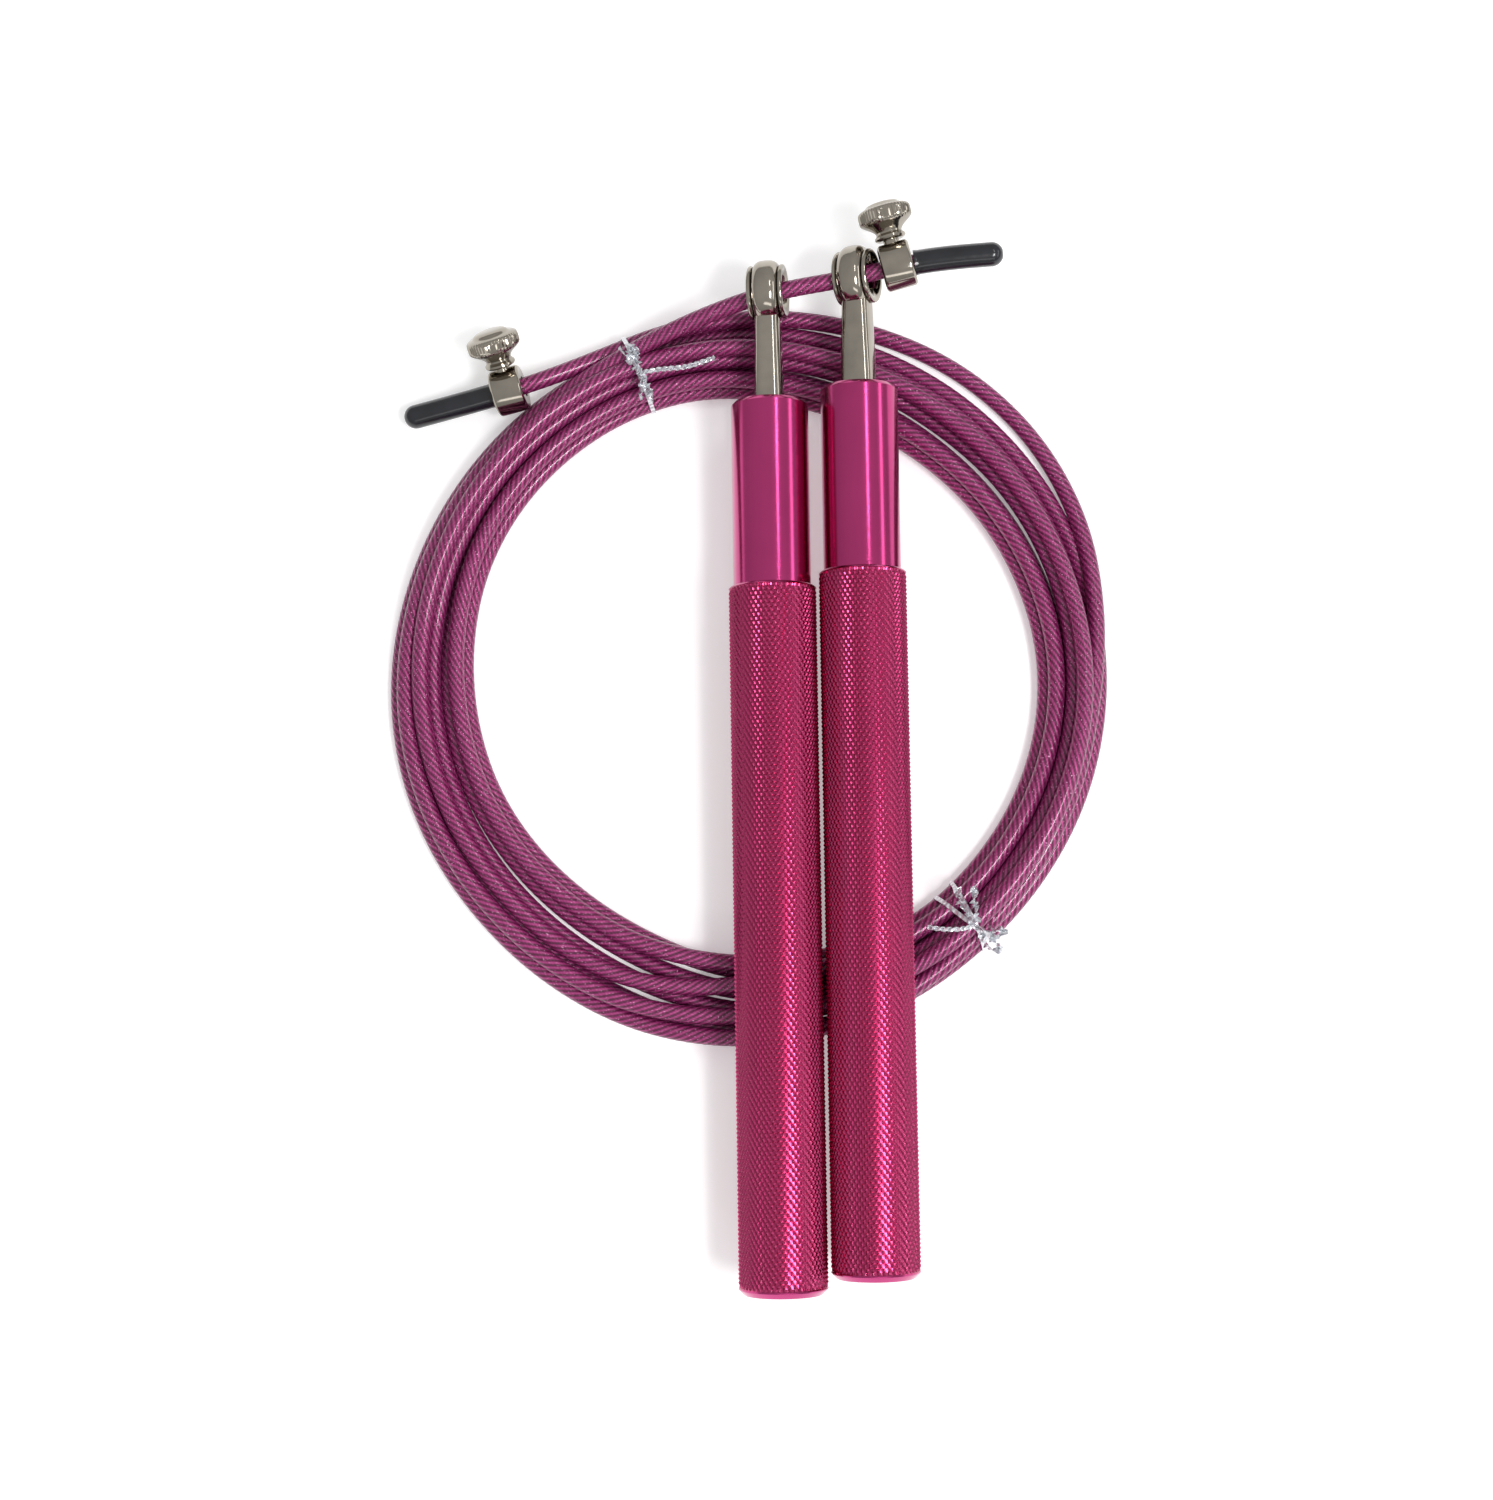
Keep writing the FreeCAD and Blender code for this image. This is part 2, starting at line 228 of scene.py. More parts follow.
def anodised(name, turning):
    """Pink anodised aluminium: a violet copy on smooth metal is painted reflection, grooves get painted
    shade.

    The two colours meet where the attribute knurled changes; turning is the strength of the lathe lines.
    """
    f = Finish(name)
    f.set(Metallic=1.0, Coat_Weight=0.30, Coat_Roughness=0.16)
    cloud = f.noise(60.0, 4.0)
    knurled = f.attribute("knurled")
    pink = f.ramp(cloud, (0.3, (0.58, 0.052, 0.180)), (0.7, (0.66, 0.062, 0.210)))
    # painted reflection: the violet is a darker, bluer copy of the pink, standing in for light reflected by
    # the smooth neck
    painted_reflection_violet = f.ramp(cloud, (0.3, (0.43, 0.034, 0.160)), (0.7, (0.50, 0.042, 0.190)))
    dye_and_painted_reflection = f.mix(knurled, painted_reflection_violet, pink)
    # painted shade: the colour darkens to a deep red down in the knurl's grooves, where shade falls
    painted_groove_shade = f.between(f.attribute("painted_groove_shade"), 0.0, 1.0)
    f.drive(Base_Color=f.mix(painted_groove_shade, dye_and_painted_reflection, (0.27, 0.013, 0.070, 1)))
    rough = f.between(f.noise(700.0, 2.0), 0.15, 0.21)
    f.drive(Roughness=f.math("ADD", rough, f.math("MULTIPLY", knurled, 0.09)))
    lines = f.noise(2600.0, 2.0, stretch=(0.02, 1, 0.02))
    f.drive(Normal=f.bump(lines, 0.00001, turning))
    return f.material


def nickel(name, colour=(0.37, 0.335, 0.285), rough=(0.07, 0.15)):
    """Polished nickel plate with faint smudges and hairline wear."""
    f = Finish(name)
    f.set(Metallic=1.0)
    smudge = f.noise(180.0, 5.0)
    dark = tuple(0.82 * c for c in colour)
    f.drive(Base_Color=f.ramp(smudge, (0.35, dark), (0.65, colour)))
    f.drive(Roughness=f.between(smudge, *rough))
    f.drive(Normal=f.bump(f.noise(500.0, 2.0), 0.00002, 0.25))
    return f.material


def ground_steel(name, colour, rough):
    """Machined steel with fine grinding lines round the handle's axis."""
    f = Finish(name)
    f.set(Metallic=1.0)
    lines = f.noise(3000.0, 2.0, stretch=(0.05, 1, 0.05))
    f.drive(Base_Color=f.ramp(lines, (0.3, tuple(0.8 * c for c in colour)), (0.7, colour)))
    f.drive(Roughness=f.between(f.noise(400.0), rough - 0.07, rough + 0.07))
    f.drive(Normal=f.bump(lines, 0.00003, 0.5))
    return f.material


def black_vinyl(name):
    """Dipped vinyl: black, glossy, with the slow waves of a dipped skin."""
    f = Finish(name)
    f.set(IOR=1.45, Coat_Weight=0.25, Coat_Roughness=0.05)
    skin = f.noise(300.0, 4.0)
    f.drive(Base_Color=f.ramp(skin, (0.3, (0.004, 0.0045, 0.006)), (0.75, (0.012, 0.013, 0.018))))
    f.drive(Roughness=f.between(f.noise(700.0), 0.16, 0.26))
    f.drive(Normal=f.bump(f.noise(220.0, 2.0), 0.00025, 0.35))
    return f.material


def coated_cable(name):
    """Twisted wires under a clear tinted coat, with pale pink specks painted on as glints.

    The strands are the wave sin(2 pi (n u - n v / lay)) of the tube's UV map, with n strands; the finer
    wires cross them the other way.
    """
    f = Finish(name)
    f.set(IOR=1.45, Coat_Weight=0.55, Coat_Roughness=0.06, Coat_IOR=1.45)
    uv = f.add("ShaderNodeSeparateXYZ", {0: f.place.outputs["UV"]})
    around, along = uv.outputs[0], uv.outputs[1]
    lay = f.math("MULTIPLY", along, STRANDS / STRAND_LAY)
    strand_turns = f.math("SUBTRACT", f.math("MULTIPLY", around, STRANDS), lay)
    strand_wave = f.math("SINE", f.math("MULTIPLY", strand_turns, TAU))
    strand = f.math("MULTIPLY", f.math("ADD", strand_wave, 1.0), 0.5)
    wire_turns = f.math("ADD", f.math("MULTIPLY", around, 2 * STRANDS), f.math("MULTIPLY", along, 900.0))
    wire_wave = f.math("SINE", f.math("MULTIPLY", wire_turns, TAU))
    wires = f.math("MULTIPLY", f.math("ADD", wire_wave, 1.0), 0.5)
    # painted glints: a fine noise brightens the colour in small lumps, over the finer wires' lines
    wires_and_painted_glint = f.math("ADD", f.math("MULTIPLY", wires, 0.14), f.math("MULTIPLY", f.noise(1800.0, 2.0), 0.42))
    level = f.math("ADD", f.math("MULTIPLY", strand, 0.56), wires_and_painted_glint)
    colour = f.ramp(level, (0.16, (0.036, 0.0010, 0.018)), (0.5, (0.165, 0.005, 0.073)),
                    (0.95, (0.45, 0.050, 0.225)))
    # painted glints: pale pink specks where a fine noise is high
    painted_glint_speck = f.math("GREATER_THAN", f.noise(4200.0, 1.0), 0.71)
    f.drive(Base_Color=f.mix(painted_glint_speck, colour, (0.85, 0.42, 0.66, 1)))
    f.drive(Metallic=f.between(strand, 0.1, 0.35))
    f.drive(Roughness=f.between(strand, 0.60, 0.36))
    f.drive(Normal=f.bump(strand, 0.00012, 0.6))
    return f.material


def tie_foil(name):
    """Clear plastic strip over bright wire, crushed into small facets with painted shade towards their
    creases.
    """
    f = Finish(name)
    f.set(IOR=1.5, Coat_Weight=1.0, Coat_Roughness=0.04)
    cells = f.add("ShaderNodeTexVoronoi", {"Vector": f.place.outputs["Object"], "Scale": 1300.0})
    crumple_and_crease_shade = cells.outputs["Distance"]
    # painted shade: each facet's colour darkens from its middle out to the creases round it
    f.drive(Base_Color=f.ramp(crumple_and_crease_shade, (0.1, (0.90, 0.92, 0.95)), (0.7, (0.55, 0.57, 0.62))))
    f.drive(Metallic=f.between(f.noise(500.0), 0.30, 0.75))
    f.drive(Roughness=f.between(f.noise(800.0), 0.08, 0.25))
    f.drive(Normal=f.bump(crumple_and_crease_shade, 0.0003, 0.8))
    return f.material


def pale_floor(name):
    """Plain matt white table."""
    f = Finish(name)
    f.set(Roughness=0.9, Emission_Color=(1, 1, 1, 1), Emission_Strength=0.28)
    f.drive(Base_Color=f.ramp(f.noise(8.0), (0.0, (0.93, 0.93, 0.93)), (1.0, (0.96, 0.96, 0.96))))
    return f.material


# ==== the cable ===================================================================================
# its two free ends, as in the model: points from the coil outwards
LEAD_ROUTE = np.array([
    (-33.4, 74.3, -7.0), (-20.9, 79.35, -2.95), (-7.9, 83.15, 0), (7.9, 85.65, 0),
    (19.45, 88.2, 1.75), (30.0, 88.7, 2.2),
]) * MM
TAIL_ROUTE = np.array([
    (-40.9, 73.0, -8.9), (-51.1, 68.9, -7.35), (-62.0, 66.2, -8.8), (-72.3, 64.0, -10.5),
]) * MM
TURNS = 8
SEAM = 113                     # angle about the coil's centre, in degrees, where each turn begins
FIRST_ANGLE, LAST_ANGLE = 101, 125
STEPS_PER_TURN = 24

# the band that the turns fill: angle, inner radius, outer radius, how far the turns spread
# (0 where a tie holds them in a tight bundle, 1 where they lie flat side by side)
BAND = np.array([
    (0, 52.0, 64.4, 0.25), (20, 51.0, 65.6, 0.7), (50, 50.6, 66.2, 1.0), (80, 51.8, 66.4, 1.0),
    (98, 53.0, 65.8, 0.5), (112, 53.0, 65.4, 0.0), (128, 52.2, 64.8, 0.2), (150, 51.2, 64.2, 0.5),
    (180, 48.8, 64.2, 1.0), (225, 46.2, 63.2, 1.0), (255, 46.6, 64.4, 1.0), (290, 48.4, 63.9, 0.9),
    (303, 49.8, 63.0, 0.3), (312, 50.3, 62.7, 0.0), (322, 50.4, 62.9, 0.1), (340, 51.4, 63.6, 0.2),
])
# places across the bundle, outer side positive: nine slots, of which a turn moves from one to the next
TIGHT_SLOTS = np.array([2.0, 1.5, 0.5, 0.0, -0.5, -1.5, -1.0, 0.5, 1.0])      # in cable diameters
SPREAD_SLOTS = np.array([1.3, 1.0, 0.5, 0.0, -0.5, -1.0, -0.75, 0.25, 0.75])  # in half widths of the band
OUTERMOST = np.array([(0, 60.8), (12, 63.6), (25, 66.6), (40, 68.6), (60, 69.0), (80, 67.6), (98, 66.0),
                      (112, 65.5), (290, 61.9), (312, 59.7), (330, 60.0)])      # first turn: angle, radius
SHIFT_FROM, SHIFT_TO = 288, 238                                                # where the turns change slots
STACKING = {"before": (1, 2, 4, 5, 3, 6, 0, 7), "shift": (1, 2, 3, 4, 0, 5, 6, 7),
            "after": (0, 1, 3, 4, 2, 5, 7, 6)}


def round_table(table, degrees, soften=5):
    """Columns of a table of angles read all round, and softened by a running mean."""
    out = []
    for column in table.T[1:]:
        values = np.interp(np.arange(360), table[:, 0], column, period=360)
        padded = np.concatenate([values[-soften:], values, values[:soften]])
        values = np.convolve(padded, np.ones(2 * soften + 1) / (2 * soften + 1), "valid")
        out.append(values[degrees % 360])
    return out


def wound_coil():
    """Radius and height above the floor of every turn, one sample a degree.

    Across the band a turn lies at a slot, blended between its tight and its spread place.  Heights come
    from laying the turns down one after another: a turn rests on the floor, or on each turn under it at
    height h and sideways distance x, at h + sqrt(diameter^2 - x^2).
    """
    phase = np.arange(360)
    theta = (SEAM - phase) % 360
    inner, outer, spread = round_table(BAND, theta)
    (first_turn,) = round_table(OUTERMOST, theta)
    middle = (inner + outer) / 2 * MM
    half = (outer - inner) / 2 * MM - CABLE_R
    d = CABLE_D
    places = (1 - spread) * TIGHT_SLOTS[:, None] * d + spread * SPREAD_SLOTS[:, None] * half + middle
    places[0] = first_turn * MM
    travel = (SEAM - SHIFT_FROM) % 360, (SEAM - SHIFT_TO) % 360
    progress = np.clip((phase - travel[0]) / (travel[1] - travel[0]), 0, 1)
    progress = progress * progress * (3 - 2 * progress)
    radius = (1 - progress) * places[:-1] + progress * places[1:]
    turn = np.arange(TURNS)[:, None]
    radius = radius + 0.22 * MM * spread * np.sin(np.radians(theta) * (2 + turn % 3) + 2.3 * turn)

    height = np.full((TURNS, 360), CABLE_R)
    zones = {"before": phase < travel[0], "after": phase > travel[1]}
    zones["shift"] = ~(zones["before"] | zones["after"])
    for zone, here in zones.items():
        laid = []
        for strand in STACKING[zone]:
            for under in laid:
                apart = np.abs(radius[strand, here] - radius[under, here])
                rest = height[under, here] + np.sqrt(np.clip(d * d - apart * apart, 0, None))
                rest = np.where(apart < d, rest, CABLE_R)
                height[strand, here] = np.maximum(height[strand, here], rest)
            laid.append(strand)
    return radius.ravel(), height.ravel()


def soften_line(values, reach=6):
    """Running mean along a line whose ends stay put."""
    padded = np.concatenate([np.full(reach, values[0]), values, np.full(reach, values[-1])])
    return np.convolve(padded, np.ones(2 * reach + 1) / (2 * reach + 1), "valid")


def coil_route():
    """Points on the turns, from the tail's end to the lead's start, evenly stepped by angle."""
    radius, height = wound_coil()
    radius, height = soften_line(radius), soften_line(height)
    total = FIRST_ANGLE - (LAST_ANGLE - 360 * TURNS)
    count = round(total / 360 * STEPS_PER_TURN)
    angle = FIRST_ANGLE - np.linspace(0, total, count + 1)
    sample = np.clip(SEAM - angle, 0, len(radius) - 1)
    r = np.interp(sample, np.arange(len(radius)), radius)
    z = np.interp(sample, np.arange(len(height)), height)
    widen = 1 / (0.75 + 0.25 * math.cos(TAU / STEPS_PER_TURN))     # the spline runs inside its points
    a = np.radians(angle)
    return np.stack([COIL_CENTRE[0] + widen * r * np.cos(a), COIL_CENTRE[1] + widen * r * np.sin(a),
                     FLOOR_Z + z], axis=1)


def spline_points(route, per_point):
    """Points read from one smooth NURBS spline through the route."""
    curve = bpy.data.curves.new("cable_line", "CURVE")
    curve.dimensions = "3D"
    curve.resolution_u = per_point
    spline = curve.splines.new("NURBS")
    spline.points.add(len(route) - 1)
    spline.points.foreach_set("co", np.column_stack([route, np.ones(len(route))]).ravel())
    spline.order_u = 3
    spline.use_endpoint_u = True
    line = bpy.data.objects.new("cable_line", curve)
    bpy.context.scene.collection.objects.link(line)
    bpy.context.view_layer.update()
    mesh = bpy.data.meshes.new_from_object(line)
    points = np.empty(3 * len(mesh.vertices))
    mesh.vertices.foreach_get("co", points)
    bpy.data.objects.remove(line)
    bpy.data.curves.remove(curve)
    bpy.data.meshes.remove(mesh)
    return points.reshape(-1, 3)


def evenly(points, step):
    """The same line with its points a fixed step apart, and the distance along it of each."""
    along = np.concatenate([[0], np.cumsum(np.linalg.norm(np.diff(points, axis=0), axis=1))])
    count = max(2, round(along[-1] / step))
    wanted = np.linspace(0, along[-1], count + 1)
    return np.stack([np.interp(wanted, along, points[:, k]) for k in range(3)], axis=1), wanted


def carried_frames(points):
    """Unit tangents and a side direction kept level with the floor at every point."""
    tangent = np.gradient(points, axis=0)
    tangent /= np.linalg.norm(tangent, axis=1)[:, None]
    side = np.cross(tangent, (0, 0, 1))
    side /= np.linalg.norm(side, axis=1)[:, None]
    return tangent, side, np.cross(side, tangent)


def tube(points, along, radius, columns, lobes=0, lobe_depth=0.0, lay=1.0):
    """Closed round tube along a line.

    A point is centre + r (side cos a + up sin a), with a turned by the twist along / lay, so that the
    lobes, r = radius - depth (1 - cos(lobes a)) / 2, wind round as a laid rope's strands do.
    """
    _, side, up = carried_frames(points)
    local = np.arange(columns)[None, :] * TAU / columns
    a = local + (TAU * along / lay)[:, None] if lobes else local + 0 * along[:, None]
    r = radius - lobe_depth * (1 - np.cos(lobes * local)) / 2 + 0 * a
    ring = (points[:, None] + (r * np.cos(a))[..., None] * side[:, None]
            + (r * np.sin(a))[..., None] * up[:, None])
    grid, faces = with_lids(ring.reshape(-1, 3), columns)
    return grid, faces, a / TAU


def cable_uv(piece, turns, along, columns):
    """UV map of the tube: u is the turn about the cable, v the distance along it in metres."""
    mesh = piece.data
    loops = np.empty(len(mesh.loops), dtype=np.int64)
    mesh.loops.foreach_get("vertex_index", loops)
    row, column = loops // columns, loops % columns
    start = np.empty(len(mesh.polygons), dtype=np.int64)
    count = np.empty(len(mesh.polygons), dtype=np.int64)
    mesh.polygons.foreach_get("loop_start", start)
    mesh.polygons.foreach_get("loop_total", count)
    first = np.repeat(loops[start] % columns, count)
    u = turns[row, column] + np.where((column == 0) & (first == columns - 1), 1.0, 0.0)
    uv = mesh.uv_layers.new(name="cable")
    uv.data.foreach_set("uv", np.stack([u, along[row]], axis=1).ravel())


def make_cable():
    """The whole cable as one tube, tail to lead, and the line that it follows."""
    route = np.concatenate([TAIL_ROUTE[::-1], coil_route(), LEAD_ROUTE])
    line, along = evenly(spline_points(route, 12), 0.60 * MM)
    columns = 2 * STRANDS
    grid, faces, turns = tube(line, along, CABLE_R, columns, STRANDS, 0.045 * MM, STRAND_LAY)
    piece = make_piece("cable", grid, faces, 60)
    cable_uv(piece, turns, along, columns)
    piece.data.materials.append(coated_cable("magenta_coated_cable"))
    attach(piece, "rope")
    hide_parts("cable_coil", "cable_lead", "cable_tail")
    return piece, line


# ==== camera and light ============================================================================
HORIZON_LIGHT, ZENITH_LIGHT = 0.48, 0.68      # strength of the pale surround, level and overhead


def make_camera():
    """Long lens looking down on the rope, the far end leaning slightly away."""
    tilt, turn = math.radians(5.5), math.radians(0.85)
    camera = bpy.data.objects.new("camera", bpy.data.cameras.new("camera"))
    camera.data.sensor_fit = "HORIZONTAL"
    camera.data.sensor_width = 36.0
    camera.data.lens = 57.87
    camera.data.clip_start = 0.01
    right = Vector((math.cos(turn), -math.sin(turn), 0))
    up = Vector((math.cos(tilt) * math.sin(turn), math.cos(tilt) * math.cos(turn), math.sin(tilt)))
    back = right.cross(up)
    turned_to = Matrix((right, up, back)).transposed().to_4x4()
    camera.matrix_world = Matrix.Translation(Vector((-13.45, -38.14, 415.15)) * MM) @ turned_to
    bpy.context.scene.collection.objects.link(camera)
    bpy.context.scene.camera = camera


def soft_lamp(name, place, size, power):
    """Rectangular soft lamp facing the origin, its second side running along the handles."""
    lamp = bpy.data.lights.new(name, "AREA")
    lamp.shape = "RECTANGLE"
    lamp.size, lamp.size_y = size
    lamp.energy = power
    item = bpy.data.objects.new(name, lamp)
    back = Vector(place).normalized()
    up = (Vector((0, 1, 0)) - back.y * back).normalized()
    item.matrix_world = Matrix.Translation(place) @ Matrix((up.cross(back), up, back)).transposed().to_4x4()
    bpy.context.scene.collection.objects.link(item)


def make_studio():
    """White table, soft lamps and a pale surround, dimmer towards the horizon."""
    reach = 6.0
    floor = make_piece("table_top", [(-reach, -reach, FLOOR_Z), (reach, -reach, FLOOR_Z),
                                     (reach, reach, FLOOR_Z), (-reach, reach, FLOOR_Z)], [(0, 1, 2, 3)])
    floor.data.materials.append(pale_floor("white_table"))
    soft_lamp("ceiling_tube", (0.27, 0.34, 0.80), (0.035, 0.30), 0.55)
    soft_lamp("key_lamp", (0.33, -0.15, 0.80), (0.14, 0.14), 1.5)
    soft_lamp("sparkle_lamp", (0.32, -0.30, 0.78), (0.26, 0.26), 3.0)
    soft_lamp("side_panel", (0.80, 0.05, 0.42), (0.12, 0.8), 0.9)
    soft_lamp("front_panel", (0.1, -0.9, 0.60), (0.8, 0.2), 0.9)
    world = bpy.data.worlds.new("surround")
    world.use_nodes = True
    nodes, links = world.node_tree.nodes, world.node_tree.links
    direction = nodes.new("ShaderNodeTexCoord")
    split = nodes.new("ShaderNodeSeparateXYZ")
    rise = nodes.new("ShaderNodeMapRange")
    links.new(direction.outputs["Generated"], split.inputs[0])
    links.new(split.outputs["Z"], rise.inputs["Value"])
    rise.inputs["To Min"].default_value = HORIZON_LIGHT
    rise.inputs["To Max"].default_value = ZENITH_LIGHT
    nodes["Background"].inputs["Color"].default_value = (1, 1, 1, 1)
    links.new(rise.outputs[0], nodes["Background"].inputs["Strength"])
    bpy.context.scene.world = world
    bpy.context.scene.view_settings.view_transform = "Standard"


# ==== handles and swivels =========================================================================
# millimetres; places along a handle are measured from the eye's centre backwards
GRIP_R, NECK_R, BORE_R, FRONT_HOLE_R = 7.7, 6.8, 5.5, 3.6
NECK_START, BORE_START, SHOULDER, HANDLE_END = 19.9, 21.4, 52.7, 174.4
DIAMONDS = 52                  # knurl diamonds round the grip
DIAMOND_LENGTH = 1.48
KNURL_DEPTH = 0.38
KNURL_FROM, KNURL_TO = 53.2, 173.2
SHAFT_HALF_WIDTH = {"left": (2.25, 2.55), "right": (2.45, 2.95)}      # near the ring, near the neck
EYES = {"left": np.array([-7.9, 83.15, 0.0]) * MM, "right": np.array([7.9, 85.65, 0.0]) * MM}
EYE_ROLL = {"left": math.radians(10.0), "right": math.radians(22.0)}
BORE_AXIS = {side: np.array([math.cos(roll), 0.0, math.sin(roll)]) for side, roll in EYE_ROLL.items()}


def in_metres(profile):
    return [(s * MM, r * MM) for s, r in profile]


def triangle_wave(x):
    """Distance from x to the nearest whole number, doubled: 0 at whole numbers, 1 half way."""
    return 2 * np.abs(x - np.round(x))


def handle_tube(side):
    """Smooth neck, knurled grip and the bore behind a thin front wall, as one turned piece.

    The knurl is two families of grooves that cross: at turn t round and distance s along the grip, the
    height is depth * min(wave(n t + s / p), 0.2 + 0.8 wave(n t - s / p)), with n diamonds of length p.
    """
    rows = np.arange(KNURL_FROM, KNURL_TO, DIAMOND_LENGTH / 4)
    profile = [(NECK_START, FRONT_HOLE_R), (NECK_START, 6.15), (20.05, 6.3), (20.4, 6.65), (20.6, NECK_R)]
    profile += [(s, NECK_R) for s in np.linspace(22.0, 52.2, 12)]
    profile += [(SHOULDER, NECK_R), (SHOULDER, 7.25), (52.75, 7.35), (53.0, 7.62), (53.1, GRIP_R)]
    first = len(profile)
    profile += [(s, GRIP_R) for s in rows]
    last = len(profile)
    profile += [(173.3, GRIP_R), (173.5, 7.6), (174.25, 6.85), (HANDLE_END, 6.65), (HANDLE_END, 5.6)]
    profile += [(s, BORE_R) for s in (174.3, 140.0, 90.0, 53.0, BORE_START)] + [(BORE_START, FRONT_HOLE_R)]
    columns = 4 * DIAMONDS
    turn = np.arange(columns)[None, :] / 4
    step = (np.arange(last - first)[:, None]) / 4
    main, cross = triangle_wave(turn + step), triangle_wave(turn - step)
    height = np.minimum(main, 0.2 + 0.8 * cross)
    ripple = np.zeros((len(profile), columns))
    ripple[first:last] = KNURL_DEPTH * MM * (1 - height)
    ripple[first] = ripple[last - 1] = 0.4 * KNURL_DEPTH * MM
    points, faces = turned(in_metres(profile), columns, frame_along(EYES[side], (0, -1, 0)), ripple)
    faces, low = np.array(faces), ripple.ravel()
    along_groove = low[faces[:, 1]] + low[faces[:, 3]] > low[faces[:, 0]] + low[faces[:, 2]] + 1e-9
    # each quad is turned so that it bends along its groove
    faces[along_groove] = np.roll(faces[along_groove], 1, axis=1)
    piece = make_piece(f"{side}_handle", points, faces, 14)
    # painted shade for the knurl's grooves: heavier along the main family than the cross family, standing in
    # for the light's direction
    shade = np.zeros(ripple.shape)
    shade[first:last] = np.clip(0.85 * (1 - main) + 0.35 * (1 - cross), 0, 1)
    knurled = (shade > 0) | (ripple > 0)
    knurled[first:last] = True
    for name, values in (("painted_groove_shade", shade), ("knurled", knurled.astype(float))):
        piece.data.attributes.new(name, "FLOAT", "POINT").data.foreach_set("value", values.ravel())
    piece.data.materials.append(MAGENTA)
    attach(piece, f"{side}_handle")
    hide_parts(f"{side}_handle_tube")


def swivel(side):
    """Ring-headed shaft: a flattened round rod that runs into the rim of a thick rounded ring."""
    eye, bore = EYES[side], BORE_AXIS[side]
    s = np.array([3.5, 4.0, 5.0, 6.0, 7.0, 8.0, 9.0, 10.0, 11.0, 12.0, 14.0, 18.0, 21.4, 21.4, 44.9, 45.4])
    inside = np.arange(len(s)) > 12
    half_width = np.where(inside, 2.5, np.interp(s, [4.0, 18.0], SHAFT_HALF_WIDTH[side]))
    half_height = np.where(inside, 2.5, 2.75)
    half_width[-1] = half_height[-1] = 2.1
    flatness = np.where(inside, 1.0, 0.55)[:, None]
    a = np.arange(96)[None, :] * TAU / 96
    across = half_width[:, None] * np.sign(np.cos(a)) * np.abs(np.cos(a)) ** (0.5 + flatness / 2)
    high = half_height[:, None] * np.sign(np.sin(a)) * np.abs(np.sin(a)) ** flatness
    upright = np.cross(bore, (0, 1, 0))
    points = eye + MM * (s[:, None, None] * np.array([0, -1.0, 0])
                         + across[..., None] * bore + high[..., None] * upright)
    rod = with_lids(points.reshape(-1, 3), 96)
    ring = [(-2.4, 3.2), (-2.4, 3.9)] + arc(-0.7, 3.9, 1.7, 180, 90, 9)[1:]
    ring += [(0.0, 5.64)] + arc(0.7, 3.9, 1.7, 90, 0, 9) + [(2.4, 3.2)]
    head = turned(in_metres(ring), 96, frame_along(eye, bore, (0, 1, 0)))
    piece = make_piece(f"{side}_swivel_shaft", *joined(rod, head), 30)
    piece.data.materials.append(NICKEL)
    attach(piece, f"{side}_swivel")
    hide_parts(f"{side}_shaft")

    half = [(2.4, 3.2), (2.4, 4.6), (2.55, 4.76), (2.7, 4.8), (2.95, 4.77), (3.12, 4.66), (3.2, 4.45)]
    half += arc(1.5, 4.35, 1.7, 0, -90, 12)
    bush = [(-x, r) for x, r in half[::-1]] + half
    bush_points, bush_faces = turned(in_metres(bush), 96, frame_along(eye, bore, (0, 1, 0)))
    piece = make_piece(f"{side}_eyelet", bush_points, bush_faces, 30)
    piece.data.materials.append(NICKEL)
    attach(piece, f"{side}_swivel")
    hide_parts(f"{side}_eye_bush")


# ==== locks on the cable ==========================================================================
COLLAR = [(-2.8, 1.85), (-2.8, 3.7), (-2.7, 3.9), (-2.45, 4.1), (-2.2, 4.15),
          (2.2, 4.15), (2.45, 4.1), (2.7, 3.9), (2.8, 3.7), (2.8, 1.85)]
CAP_R, CAP_LENGTH = 2.15, {"left": 17.0, "right": 15.8}
CAP_SLEEVE, CAP_STEP = 12.5, 0.2                      # depth of a cap's bore, and distance between its rings
SCREW = [(1.75, 0), (1.75, 1.0), (2.15, 1.42), (4.65, 1.42), (4.65, 2.3), (4.8, 2.62), (5.05, 2.8),
         (5.4, 2.75), (5.65, 2.5), (5.85, 2.35), (6.15, 2.35), (6.5, 2.6), (6.9, 3.05), (7.25, 3.55),
         (7.6, 4.1), (7.95, 4.5), (8.3, 4.72), (8.7, 4.75), (9.6, 4.75), (10.0, 4.68), (10.3, 4.45),
         (10.5, 4.1), (10.6, 3.6), (10.75, 3.3), (11.0, 3.1), (11.25, 2.7), (11.4, 2.1), (11.48, 1.3),
         (11.5, 0)]
SERRATIONS = 48
LOCKS = {
    "right": dict(centre=(15.1226, 87.3071, 1.1569), screw=(-0.242374, 0.960389, 0.137507),
                  cable=(0.9630, 0.2210, 0.1543)),
    "left": dict(centre=(-54.4694, 68.0654, -7.7982), screw=(-0.270653, 0.84259, 0.465606),
                 cable=(-0.9630, -0.2385, -0.1280)),
}


